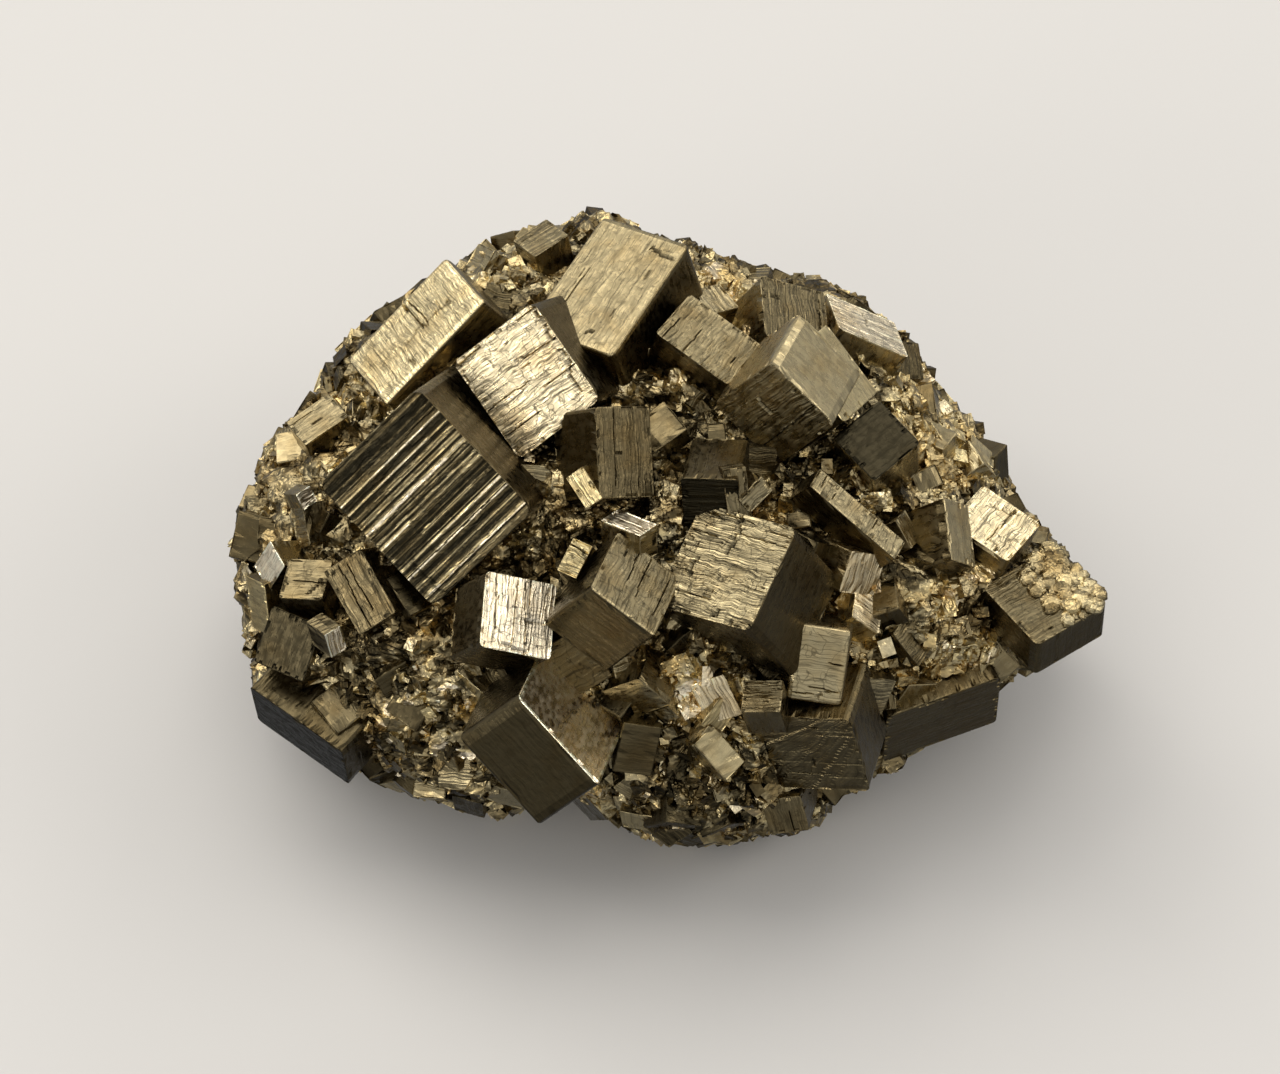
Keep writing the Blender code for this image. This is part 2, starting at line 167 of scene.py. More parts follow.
# Edges worn rounder than the others, in millimetres
WORN_EDGES = {"top cube": 0.42, "gold block": 0.40, "grey lump": 0.40, "middle grey cube": 0.20,
              "lower slab": 0.25}

# Patches of grains on the seen side: middle and half size in picture points, tone and its spread. The
# tones follow how bright the grains look, painted light and shade included.
PATCHES = (
    (400, 725, 90, 85, 0.37, 0.30),
    (675, 790, 90, 70, 0.38, 0.30),
    (700, 697, 26, 22, 0.95, 0.05),
    (870, 592, 16, 22, 0.95, 0.05),
    (938, 600, 26, 24, 0.70, 0.12),
    (965, 670, 36, 38, 0.70, 0.15),
    (900, 640, 75, 60, 0.48, 0.20),
    (272, 485, 40, 65, 0.42, 0.12),
    (800, 300, 120, 45, 0.62, 0.20),
    (935, 430, 62, 66, 0.60, 0.12),
    (500, 262, 50, 34, 0.50, 0.18),
)

# Tone and its spread outside the patches, darkened as painted shade of the gaps between the crystals, and
# on the crystals of the rear, and the limits of a drawn tone
OPEN_TONE_WITH_PAINTED_SHADE = (0.37, 0.22)
REAR_TONE = (0.46, 0.26)
LOWEST_TONE = 0.18
HIGHEST_TONE = 0.88

# Rounded pebbles of pyrite: middle and half size of their patch in picture points, and how many
PEBBLE_PATCHES = (
    (940, 435, 62, 75, 210),
    (265, 490, 32, 70, 90),
    (690, 838, 110, 18, 90),
    (960, 672, 40, 34, 60),
    (1040, 520, 30, 40, 40),
    (600, 665, 20, 14, 6),
)
PEBBLE_EDGE = (0.55 * MM, 1.40 * MM)
WING_PEBBLES = 120

# Grid cells of the modelled surfaces, across and along the growth ridges
FACE_CELL = (0.06 * MM, 0.18 * MM)
SIDE_CELL = (0.18 * MM, 0.55 * MM)
SMALL_CELL = (0.34 * MM, 0.70 * MM)
REAR_CELL = (0.28 * MM, 0.80 * MM)
SMALL_REAR_CELL = (0.50 * MM, 1.0 * MM)

# A piece stays this far inside the solid's box, and a new piece starts past this many faces
CLEAR_OF_BOX = 0.02 * MM
PIECE_FACES = 68000

# Waves in the growth lines: swing, and lengths along and across the lines, in millimetres
WAVE_SWINGS = (0.01, 0.035)
WAVES_ALONG = (1.6, 5.0)
WAVES_ACROSS = (3.0, 9.0)

# Growth relief: widths of the ridges and terraces, and the lengths over which the terraces change
RIDGE_WIDTHS = (0.06 * MM, 0.6 * MM)
TERRACE_WIDTHS = (0.08 * MM, 0.8 * MM)
TERRACE_LENGTHS = (0.7 * MM, 3.2 * MM)

# Flaws of a face: long cracks per millimetre of its width, short ones per millimetre of its length and
# pits per square millimetre, how deep they are, and the lengths and reach of the chips in its rim
LONG_CRACKS = 0.9
SHORT_CRACKS = 0.5
PITS = 0.16
CRACK_DEPTH = 0.10 * MM
CHIPS_ALONG = (0.15 * MM, 0.9 * MM)
CHIPS_ACROSS = (0.10 * MM, 0.6 * MM)
CHIP_REACH = 0.34 * MM

# Wear of a crystal and its painted rim highlight: rounding of the upright edges as a share of the face and
# at most, and how much the painted highlight brightens the rim of each face
CORNER_SHARE = 0.09
LARGEST_CORNER = 0.8 * MM
RIM_PAINTED_HIGHLIGHT = 0.3

# Painted highlight lines of the mirror face: widths of the lines and of their bunches, lengths over which
# they fade and widths of what fades together, and how the painted tone follows them
LINE_WIDTHS = (0.05 * MM, 0.14 * MM)
BUNCH_WIDTHS = (0.4 * MM, 1.6 * MM)
FADE_LENGTHS = (1.5 * MM, 6.0 * MM)
FADE_WIDTHS = (0.06 * MM, 0.4 * MM)
LINE_HIGHLIGHT_GAIN = 2.2
LINE_FLOOR = 0.05

# Lumps of the mass, and its flat grains as edge and strength: coarse in the mass, finer in its crust
LUMP_SIZES = (5.0 * MM, 2.2 * MM)
MASS_GRAINS = ((1.9 * MM, 0.55), (0.9 * MM, 0.45))
CRUST_GRAINS = ((2.3 * MM, 0.55), (1.1 * MM, 0.50), (0.5 * MM, 0.25))

# How far the mass lies under the crust, how far the crust's rim sinks into it, and the share of a
# crystal's face that the crust reaches under
CRUST_LIFT = 0.35 * MM
CRUST_SINK = 0.9 * MM
CRUST_MARGIN = 0.06

# Outside the patches the druse of the seen side has no grains below this edge. A grain sinks by this
# share of its edge, and a flat grain's shade counts this many times its patch's spread.
FINE_GRAIN = 0.62 * MM
GRAIN_SINK = 0.12
GRAIN_CONTRAST = 2.2

# A pebble's height as a share of its width, and how far lumps change its shape
PEBBLE_FLATNESS = 0.55
PEBBLE_LUMPS = 0.22

# The floor lies a hair below the specimen. The room is bright above and dim below, as a light tent over a
# table is: its brightness runs from one value to the other between these heights of a unit sphere.
FLOOR_SIZE = 4.0
FLOOR_GAP = 0.05 * MM
ROOM_HEIGHTS = (-0.6, 0.25)
ROOM_LEVELS = (0.18, 0.68)

# Softboxes round the table: turn from the back to the right and height in degrees, width and tallness in
# metres, and brightness
LIGHT_DISTANCE = 0.9
SOFTBOXES = (
    ("main softbox", -58.0, 48.0, 0.80, 0.60, 2.6),
    ("top softbox", 10.0, 80.0, 0.50, 0.50, 2.0),
    ("right softbox", 92.0, 38.0, 0.45, 0.40, 2.6),
    ("back softbox", 34.0, 30.0, 0.45, 0.30, 2.4),
    ("front softbox", -135.0, 25.0, 0.40, 0.25, 3.8),
)

RIGHT = Vector((1.0, 0.0, 0.0))
UP = Vector((0.0, math.sin(VIEW_ELEVATION), math.cos(VIEW_ELEVATION)))
TOWARD = Vector((0.0, -math.cos(VIEW_ELEVATION), math.sin(VIEW_ELEVATION)))


# Places on the specimen, worked out from picture points

def on_plane(point):
    """A picture point as metres across and up from the middle of the picture."""
    across = (point[0] - PICTURE_CENTRE.x) / PIXELS_PER_MM * MM
    up = (PICTURE_CENTRE.y - point[1]) / PIXELS_PER_MM * MM
    return Vector((across, up))


MIDDLE = on_plane(BODY_CENTRE)
CENTRE = Vector((0.0, 0.0, BODY_HEIGHT))
PICTURE_TARGET = CENTRE - RIGHT * MIDDLE.x - UP * MIDDLE.y
OUTLINE_PLANE = [on_plane(point) - MIDDLE for point in OUTLINE]


def in_space(flat, depth):
    """The place in space of a plane point that lies `depth` nearer to the viewer than the middle."""
    shrink = 1.0 - depth / VIEW_DISTANCE
    return PICTURE_TARGET + (RIGHT * flat.x + UP * flat.y) * shrink + TOWARD * depth


def cross(first, second):
    """Cross product of two plane vectors."""
    return first.x * second.y - first.y * second.x


def outline_reach(direction):
    """How far the outline lies from the body's middle in a plane direction."""
    best = 0.0
    for index, start in enumerate(OUTLINE_PLANE):
        side = OUTLINE_PLANE[(index + 1) % len(OUTLINE_PLANE)] - start
        turn = cross(direction, side)
        if abs(turn) < 1e-12:
            continue
        along = cross(start, side) / turn
        share = cross(start, direction) / turn
        if along > 0.0 and 0.0 <= share <= 1.0:
            best = max(best, along)
    return best


def dome_depth(flat):
    """Depth of the front of the mass at a plane point."""
    offset = flat - MIDDLE
    if offset.length < 1e-9:
        return BODY_HALF_DEPTH
    radius = min(offset.length / outline_reach(offset.normalized()), 0.97)
    return BODY_SHEAR * offset.y + BODY_HALF_DEPTH * math.sqrt(1.0 - radius * radius)


def mass_flat(direction):
    """The plane point at which the mass is seen in a direction of a unit sphere facing the viewer."""
    flat = Vector((direction[0], direction[1]))
    reach = outline_reach(flat.normalized()) * MASS_INSET if flat.length > 1e-9 else 0.0
    return MIDDLE + flat * reach


def body_point(direction):
    """The point of the mass in a direction, without its lumps."""
    flat = mass_flat(direction)
    return in_space(flat, BODY_SHEAR * (flat.y - MIDDLE.y) + (BODY_HALF_DEPTH - MASS_SINK) * direction[2])


def lump_height(point):
    """How far the lumps of the mass stand out at a place."""
    coarse, fine = LUMP_SIZES
    return (noise.noise(point / coarse) + 0.5 * noise.noise(point / fine)) * MASS_LUMP


def lumpy_point(direction):
    """The point of the mass in a direction, with its lumps."""
    point = body_point(direction)
    return point + (point - CENTRE).normalized() * lump_height(point)


OUTLINE_ANGLES = np.linspace(-math.pi, math.pi, 1441)
OUTLINE_REACHES = np.array([outline_reach(Vector((math.cos(turn), math.sin(turn))))
                            for turn in OUTLINE_ANGLES])


def mass_flats(directions):
    """The plane points at which the mass is seen in an array of directions."""
    turns = np.arctan2(directions[:, 1], directions[:, 0])
    reach = np.interp(turns, OUTLINE_ANGLES, OUTLINE_REACHES)[:, None] * MASS_INSET
    return np.array(MIDDLE) + directions[:, :2] * reach


def mass_places(directions):
    """The places of the mass in an array of directions."""
    flat = mass_flats(directions)
    depth = BODY_SHEAR * (flat[:, 1:] - MIDDLE.y) + (BODY_HALF_DEPTH - MASS_SINK) * directions[:, 2:]
    across = flat[:, :1] * np.array(RIGHT) + flat[:, 1:] * np.array(UP)
    return np.array(PICTURE_TARGET) + across * (1.0 - depth / VIEW_DISTANCE) + depth * np.array(TOWARD)


def mass_direction(picture_point):
    """The direction in which the mass is seen at a picture point."""
    offset = on_plane(picture_point) - MIDDLE
    radius = min(offset.length / (outline_reach(offset.normalized()) * MASS_INSET), 0.99)
    flat = offset.normalized() * radius
    return Vector((flat.x, flat.y, math.sqrt(1.0 - radius * radius)))


def plane_face(crystal):
    """Corner and edge vectors of a crystal's seen face on the picture plane."""
    corner = on_plane(crystal.corner)
    return corner, on_plane(crystal.end_a) - corner, on_plane(crystal.end_b) - corner


def on_crystals(flats, margin):
    """Whether each of an array of plane points lies on a named crystal's seen face, narrowed by a share of
    its edges."""
    inside = np.zeros(len(flats), bool)
    for crystal in CRYSTALS:
        corner, flat_a, flat_b = plane_face(crystal)
        area = cross(flat_a, flat_b)
        offset = flats - np.array(corner)
        share_a = (offset[:, 0] * flat_b.y - offset[:, 1] * flat_b.x) / area
        share_b = (flat_a.x * offset[:, 1] - flat_a.y * offset[:, 0]) / area
        inside |= (np.minimum(share_a, share_b) > margin) & (np.maximum(share_a, share_b) < 1.0 - margin)
    return inside


def seen_at(point):
    """The plane point at which a place in space is seen from the front."""
    offset = point - PICTURE_TARGET
    shrink = 1.0 - offset.dot(TOWARD) / VIEW_DISTANCE
    return Vector((offset.dot(RIGHT), offset.dot(UP))) / shrink


def patch_tone(point):
    """Tone and spread of the grains at a place, from the patch that it is seen in."""
    flat = seen_at(point) / MM * PIXELS_PER_MM
    x = PICTURE_CENTRE.x + flat.x
    y = PICTURE_CENTRE.y - flat.y
    if (point - CENTRE).dot(TOWARD) > 0.0:
        for middle_x, middle_y, half_x, half_y, tone, spread in PATCHES:
            if ((x - middle_x) / half_x) ** 2 + ((y - middle_y) / half_y) ** 2 < 1.0:
                return tone, spread
    return OPEN_TONE_WITH_PAINTED_SHADE


def inside_outline(point):
    """Whether a place in space is seen within the outline from the front."""
    flat = seen_at(point) - MIDDLE
    return flat.length < outline_reach(flat.normalized())


def covered(flat, margin):
    """Whether a plane point lies on a named crystal's seen face, widened by a share of its edges."""
    for crystal in CRYSTALS:
        corner, flat_a, flat_b = plane_face(crystal)
        area = cross(flat_a, flat_b)
        offset = flat - corner
        share_a = cross(offset, flat_b) / area
        share_b = cross(flat_a, offset) / area
        if -margin < share_a < 1.0 + margin and -margin < share_b < 1.0 + margin:
            return True
    return False


def face_edges(crystal):
    """Centre and true edge vectors of a crystal's seen face, from its edges being square to each other."""
    corner, flat_a, flat_b = plane_face(crystal)
    dot = flat_a.dot(flat_b)
    square = crystal.ratio ** 2
    total = flat_b.length_squared + square * flat_a.length_squared
    spread = total ** 2 - 4.0 * square * (flat_a.length_squared * flat_b.length_squared - dot ** 2)
    edge_squared = (total + math.sqrt(max(spread, 0.0))) / (2.0 * square)
    rise_a = math.sqrt(max(edge_squared - flat_a.length_squared, 0.0))
    rise_b = math.sqrt(max(square * edge_squared - flat_b.length_squared, 0.0))
    opposite = -1.0 if dot > 0.0 else 1.0
    given = 1.0 if crystal.lean[1] == "+" else -1.0
    sign_a, sign_b = (given, given * opposite) if crystal.lean[0] == "a" else (given * opposite, given)
    middle = corner + (flat_a + flat_b) / 2.0
    depth = dome_depth(middle) + crystal.proud * MM
    shrink = 1.0 - depth / VIEW_DISTANCE
    edge_a = (RIGHT * flat_a.x + UP * flat_a.y + TOWARD * rise_a * sign_a) * shrink
    edge_b = (RIGHT * flat_b.x + UP * flat_b.y + TOWARD * rise_b * sign_b) * shrink
    return in_space(middle, depth), edge_a, edge_b


def face_normal(edge_a, edge_b):
    """Unit normal of a seen face, towards the viewer."""
    normal = edge_a.cross(edge_b).normalized()
    return -normal if normal.dot(TOWARD) < 0.0 else normal


def sphere_direction(index, count, source):
    """Evenly spread directions, each moved a little at random."""
    height = 1.0 - 2.0 * (index + 0.5) / count
    turn = index * math.pi * (3.0 - math.sqrt(5.0)) + source.uniform(-0.3, 0.3)
    height = max(-0.995, min(0.995, height + source.uniform(-0.6, 0.6) / math.sqrt(count)))
    ring = math.sqrt(1.0 - height * height)
    return Vector((ring * math.cos(turn), ring * math.sin(turn), height))


def scattered_blocks(tries, edges, front, source):
    """Face centre, two edges and inward vector of each crystal spread over one side of the mass."""
    for index in range(tries):
        direction = sphere_direction(index, tries, source)
        size = source.uniform(*edges)
        tilt = Vector([source.gauss(0.0, 0.4) for _ in range(3)])
        spin = source.uniform(0.0, math.pi)
        stretch = source.uniform(0.7, 1.3)
        rise = source.uniform(0.15, 0.4)
        if direction.z < -0.1 if front else direction.z > 0.15:
            continue
        point = body_point(direction)
        if front and covered(mass_flat(direction), 0.1):
            continue
        outward = ((point - CENTRE).normalized() + tilt).normalized()
        unit_a = outward.orthogonal().normalized()
        unit_a.rotate(Matrix.Rotation(spin, 3, outward))
        unit_b = outward.cross(unit_a).normalized() * stretch
        for edge in [size * shrink for shrink in SHRINKS]:
            face = point + outward * edge * rise
            corners = [face + (unit_a * side_a + unit_b * side_b) * edge / 2.0
                       for side_a in (-1.0, 1.0) for side_b in (-1.0, 1.0)]
            if all(inside_outline(corner) and corner.z > CLEAR_OF_BASE for corner in corners):
                yield face, unit_a * edge, unit_b * edge, -outward * edge * 1.3
                break


# Growth relief of a crystal face

def ridge_levels(source, positions, widths, power):
    """A level from 0 to 1 at each position, constant over ridges of unequal width."""
    edges = []
    place = positions.min()
    while place < positions.max():
        place += math.exp(source.uniform(math.log(widths[0]), math.log(widths[1])))
        edges.append(place)
    levels = np.array([source.random() ** power for _ in range(len(edges) + 1)])
    return levels[np.searchsorted(edges, positions)]


def stretches(source, along, lengths):
    """Slices of a grid's columns, of unequal lengths."""
    start = 0
    while start < len(along):
        end = max(int(np.searchsorted(along, along[start] + source.uniform(*lengths))), start + 1)
        yield slice(start, end)
        start = end


def wander(source, count, first, last):
    """Steps from first to last with a place that wanders sideways within a count."""
    place = source.randrange(count)
    for step in range(first, last):
        if source.random() < 0.12:
            place = max(0, min(count - 1, place + source.choice((-1, 1))))
        yield step, place


def waves(source, across, along, share):
    """Sideways bend of the growth lines at each grid point, as a share of the usual bend."""
    bend = np.zeros((len(across), len(along)))
    for _ in range(4):
        swing = source.uniform(*WAVE_SWINGS) * MM * share
        turn = (along[None, :] / source.uniform(*WAVES_ALONG)
                + across[:, None] / source.uniform(*WAVES_ACROSS)) / MM
        bend += swing * np.sin(2.0 * math.pi * (turn + source.random()))
    return bend


def growth_relief(source, across, along, ridge_place, depth, crack):
    """Depth below the ideal face at each grid point: ridges, terraces, cracks, pits and chipped edges."""
    rows, columns = len(across), len(along)
    width = (across[-1] - across[0]) / MM
    length = (along[-1] - along[0]) / MM
    ridge_place = ridge_place + waves(source, across, along, 1.0)
    relief = ridge_levels(source, ridge_place, RIDGE_WIDTHS, 1.6) * 0.55
    for part in stretches(source, along, TERRACE_LENGTHS):
        relief[:, part] += ridge_levels(source, across, TERRACE_WIDTHS, 1.5)[:, None] * 0.45
    relief *= depth
    # Long cracks along the ridges, short ones across them
    for _ in range(int(width * LONG_CRACKS * crack)):
        first = int(columns * source.uniform(-0.3, 0.7))
        last = min(first + int(columns * source.uniform(0.25, 1.0)), columns)
        for column, row in wander(source, rows, max(first, 0), last):
            relief[row, column] += CRACK_DEPTH
    for _ in range(int(length * SHORT_CRACKS * crack)):
        first = int(rows * source.uniform(-0.2, 0.9))
        last = min(first + int(rows * source.uniform(0.08, 0.45)), rows)
        for row, column in wander(source, columns, max(first, 0), last):
            relief[row, column] += CRACK_DEPTH
    pits = int(width * length * PITS * crack + source.random()) if crack else 0
    for _ in range(pits):
        row = source.randrange(rows)
        column = source.randrange(columns)
        tall = 1 + source.randrange(4)
        wide = 1 + source.randrange(4)
        relief[row:row + tall, column:column + wide] += CRACK_DEPTH * source.uniform(0.4, 1.2)
    rim_across = np.minimum(across - across[0], across[-1] - across)[:, None]
    rim_along = np.minimum(along - along[0], along[-1] - along)[None, :]
    bite_a = ridge_levels(source, along, CHIPS_ALONG, 3.0)[None, :] * CHIP_REACH
    bite_b = ridge_levels(source, across, CHIPS_ACROSS, 3.0)[:, None] * CHIP_REACH
    return np.where((rim_across < bite_a) | (rim_along < bite_b), relief + CRACK_DEPTH, relief)


def painted_line_highlights(source, across, along):
    """Painted highlight of the long bright growth lines on a dark mirror face: how bright each line is painted.
    """
    places = across[:, None] + waves(source, across, along, 0.3)
    painted_highlight = ridge_levels(source, places, LINE_WIDTHS, 2.2)
    painted_highlight = painted_highlight * (0.25 + 0.75 * ridge_levels(source, places, BUNCH_WIDTHS, 0.8))
    for part in stretches(source, along, FADE_LENGTHS):
        painted_highlight[:, part] *= 0.30 + 0.70 * ridge_levels(source, across, FADE_WIDTHS, 0.6)[:, None]
    return painted_highlight


def grid_positions(length, cell, rounding):
    """Positions along an edge, with two close ones at each end for the rounding."""
    inner_count = max(int(round((length - 2.0 * rounding) / cell)), 1) + 1
    inner = np.linspace(rounding, length - rounding, inner_count)
    return np.concatenate(([0.0, 0.4 * rounding], inner, [length - 0.4 * rounding, length]))


# The finish reads these values: tone paints each face's lustre as a painted reflection, relief paints shade into
# low places and a highlight on rims and high places, and stripe and crack are strengths
LABELS = ("tone", "relief", "stripe", "crack")


class Surface:
    """Points and faces gathered into one mesh, with the values that the finish reads."""

    def __init__(self):
        self.points = []
        self.faces = []
        self.flats = []
        self.values = {label: [] for label in LABELS}
        self.count = 0
        self.face_count = 0

    def add(self, points, faces, flats, values):
        """Points, faces, flat places in millimetres and the finish's values."""
        self.points.append(points)
        self.faces.append(faces + self.count)
        self.flats.append(flats)
        for label, value in zip(LABELS, values):
            self.values[label].append(np.broadcast_to(value, len(points)).astype(np.float32))
        self.count += len(points)
        self.face_count += len(faces)

    def add_grid(self, points, flats, values):
        """A grid of rows by columns of points, joined with quads."""
        rows, columns = points.shape[:2]
        index = np.arange(rows * columns).reshape(rows, columns)
        quads = np.stack((index[:-1, :-1], index[1:, :-1], index[1:, 1:], index[:-1, 1:]), axis=-1)
        spread = [np.broadcast_to(value, (rows, columns)).ravel() for value in values]
        self.add(points.reshape(-1, 3), quads.reshape(-1, 4), flats.reshape(-1, 2), spread)

    def make_object(self, name, material):
        """The gathered faces as a flat-shaded mesh object, kept inside the solid's box."""
        low = np.array(LOW) + CLEAR_OF_BOX
        high = np.array(HIGH) - CLEAR_OF_BOX
        points = np.clip(np.concatenate(self.points), low, high)
        faces = np.concatenate(self.faces)
        flats = np.concatenate(self.flats)
        mesh = bpy.data.meshes.new(name)
        mesh.vertices.add(len(points))
        mesh.vertices.foreach_set("co", points.astype(np.float32).ravel())
        mesh.loops.add(faces.size)
        mesh.loops.foreach_set("vertex_index", faces.astype(np.int32).ravel())
        mesh.polygons.add(len(faces))
        mesh.polygons.foreach_set("loop_start", np.arange(0, faces.size, faces.shape[1], dtype=np.int32))
        mesh.update(calc_edges=True)
        layer = mesh.uv_layers.new(name="face")
        layer.data.foreach_set("uv", flats[faces.ravel()].astype(np.float32).ravel())
        for label in LABELS:
            attribute = mesh.attributes.new(label, "FLOAT", "POINT")
            attribute.data.foreach_set("value", np.concatenate(self.values[label]))
        mesh.shade_flat()
        mesh.materials.append(material)
        piece = bpy.data.objects.new(name, mesh)
        bpy.context.scene.collection.objects.link(piece)
        return piece


def round_off(places, half, radius):
    """Places on a block of given half sizes, drawn in so that its corners get a radius."""
    inner = np.clip(places, -(half - radius), half - radius)
    gap = places - inner
    reach = np.maximum(np.linalg.norm(gap, axis=-1, keepdims=True), 1e-9)
    return inner + gap * np.minimum(1.0, radius / reach)


def add_crystal(surface, source, block, ridges, tones_and_painted_light, finish, cells, ridge_depth, rounding):
    """A crystal block with growth relief on every face and worn edges."""
    face, edge_a, edge_b, inward = block
    outward = -inward
    if edge_a.cross(edge_b).dot(outward) < 0.0:
        edge_a = -edge_a
    axes = np.array([edge_a.normalized(), edge_b.normalized(), outward.normalized()])
    sizes = np.array([edge_a.length, edge_b.length, inward.length])
    middle = np.array(face + inward / 2.0)
    half = sizes / 2.0
    rounding = min(rounding, 0.2 * sizes.min())
    # Ridges on neighbouring faces of pyrite stand square to each other
    run_of = {2: 0, 0: 1, 1: 2} if ridges == "a" else {2: 1, 1: 0, 0: 2}
    for normal in (0, 1, 2):
        run = run_of[normal]
        other = 3 - normal - run
        for sign in (1.0, -1.0):
            front = normal == 2 and sign > 0.0
            share, stripe, crack = FINISHES[finish if front else "side"]
            depth = ridge_depth * share
            cell = cells[0] if front else cells[1]
            across = grid_positions(sizes[other], cell[0], rounding)
            along = grid_positions(sizes[run], cell[1], rounding)
            flats = np.stack(np.broadcast_arrays(across[:, None], along[None, :]), axis=-1)
            if front and finish == "fanned":
                # Its ridges spread like a fan from beyond one corner
                shifted = flats + np.array([0.35 * sizes[other], 0.35 * sizes[run]])
                fan = np.arctan2(shifted[..., 0], shifted[..., 1]) * 0.8 * sizes[other]
                flats = np.stack((fan, np.linalg.norm(shifted, axis=-1)), axis=-1)
            # Cracks are carved only where the grid is fine enough; a smooth face has drawn ones alone
            carved = crack if cell == FACE_CELL and finish != "smooth" else 0.0
            relief = growth_relief(source, across, along, flats[..., 0], depth, carved)
            # A face takes its painted reflection as its tone, and its sides take their painted shade
            tone = tones_and_painted_light[0] if front else tones_and_painted_light[1]
            # The bright growth lines of the mirror face are painted highlights in its tone, and its relief
            # follows them
            if front and finish == "bold":
                painted_highlight = painted_line_highlights(source, across, along)
                tone = tone + LINE_HIGHLIGHT_GAIN * np.maximum(painted_highlight - LINE_FLOOR, 0.0)
                relief = relief * 0.4 + (1.0 - painted_highlight) * depth * 0.6
            rim = np.minimum.outer(np.minimum(across, across[::-1]), np.minimum(along, along[::-1]))
            relief *= np.clip(rim / (1.2 * rounding), 0.0, 1.0)
            local = np.zeros(relief.shape + (3,))
            local[..., other] = (across - half[other])[:, None]
            local[..., run] = (along - half[run])[None, :]
            local[..., normal] = sign * (half[normal] - relief)
            local = round_off(local, half, rounding)
            # The upright edges are worn rounder than the rim of the face
            corner = min(CORNER_SHARE * sizes[:2].min(), LARGEST_CORNER)
            local[..., :2] = round_off(local[..., :2], half[:2], corner)
            places = middle + local @ axes
            flats = flats / MM + np.array([source.uniform(0.0, 90.0), source.uniform(0.0, 90.0)])
            # Painted shade darkens the face where its relief lies deep: grooves, cracks, pits and chips
            level = 1.0 - np.clip(relief / (ridge_depth * 1.2), 0.0, 1.0)
            # A painted highlight brightens the rim of the face
            level = level + RIM_PAINTED_HIGHLIGHT * (rim < 1.4 * rounding)
            tone = np.broadcast_to(tone, relief.shape)
            turned = np.linalg.det(np.array([np.eye(3)[other], np.eye(3)[run], np.eye(3)[normal]])) * sign
            if turned < 0.0:
                places, flats, level, tone = places[::-1], flats[::-1], level[::-1], tone[::-1]
            surface.add_grid(places, flats, (tone, level, stripe, crack))


def facet(point, size):
    """Lift, as a share of the size, and shade of the flat grain that covers a place."""
    scaled = point / size
    centre = noise.voronoi(scaled)[1][0]
    slope = noise.noise_vector(centre * 7.3)
    return (scaled - centre).dot(slope) * 1.5 + noise.noise(centre * 4.1) * 0.6, noise.noise(centre * 9.7)


def add_grains(surface, directions, triangles, grains, lowered):
    """The mass in an array of directions, covered with flat grains of each size and strength."""
    places = mass_places(directions)
    tones_and_painted_light = np.zeros(len(places))
    levels = np.zeros(len(places))
    for index, place in enumerate(places):
        point = Vector(place)
        outward = (point - CENTRE).normalized()
        lump = lump_height(point)
        tone, spread = patch_tone(point)
        level = 0.75
        for size, strength in grains:
            lift, shade = facet(point, size)
            lump += lift * size * strength
            tone += shade * spread * GRAIN_CONTRAST
            # A grain's raised part is painted lighter and its low part darker: painted shade
            level += lift * 0.35
        places[index] = point + outward * (lump - lowered[index])
        tones_and_painted_light[index] = tone
        levels[index] = level
    flats = places[:, :2] / MM
    surface.add(places, triangles, flats, (np.clip(tones_and_painted_light, 0.04, 1.0), np.clip(levels, 0.0, 1.2), 0.0, 0.0))


def sphere_mesh(subdivisions):
    """Directions and triangles of an even sphere."""
    builder = bmesh.new()
    bmesh.ops.create_icosphere(builder, subdivisions=subdivisions, radius=1.0)
    builder.verts.index_update()
    directions = np.array([vertex.co[:] for vertex in builder.verts])
    triangles = np.array([[vertex.index for vertex in face.verts] for face in builder.faces])
    builder.free()
    return directions, triangles


# Finish of the pyrite

def linear(hex_colour):
    """An sRGB hex colour as linear red, green, blue and alpha."""
    channels = [int(hex_colour[place:place + 2], 16) / 255.0 for place in (0, 2, 4)]
    return [c / 12.92 if c <= 0.04045 else ((c + 0.055) / 1.055) ** 2.4 for c in channels] + [1.0]


def add_node(tree, kind, inputs=None, **settings):
    """A node with its settings, its input values and its links from other nodes or their outputs."""
    node = tree.nodes.new(kind)
    for key, value in settings.items():
        setattr(node, key, value)
    for key, value in (inputs or {}).items():
        if isinstance(value, bpy.types.Node):
            value = value.outputs[0]
        if isinstance(value, bpy.types.NodeSocket):
            tree.links.new(value, node.inputs[key])
        else:
            node.inputs[key].default_value = value
    return node


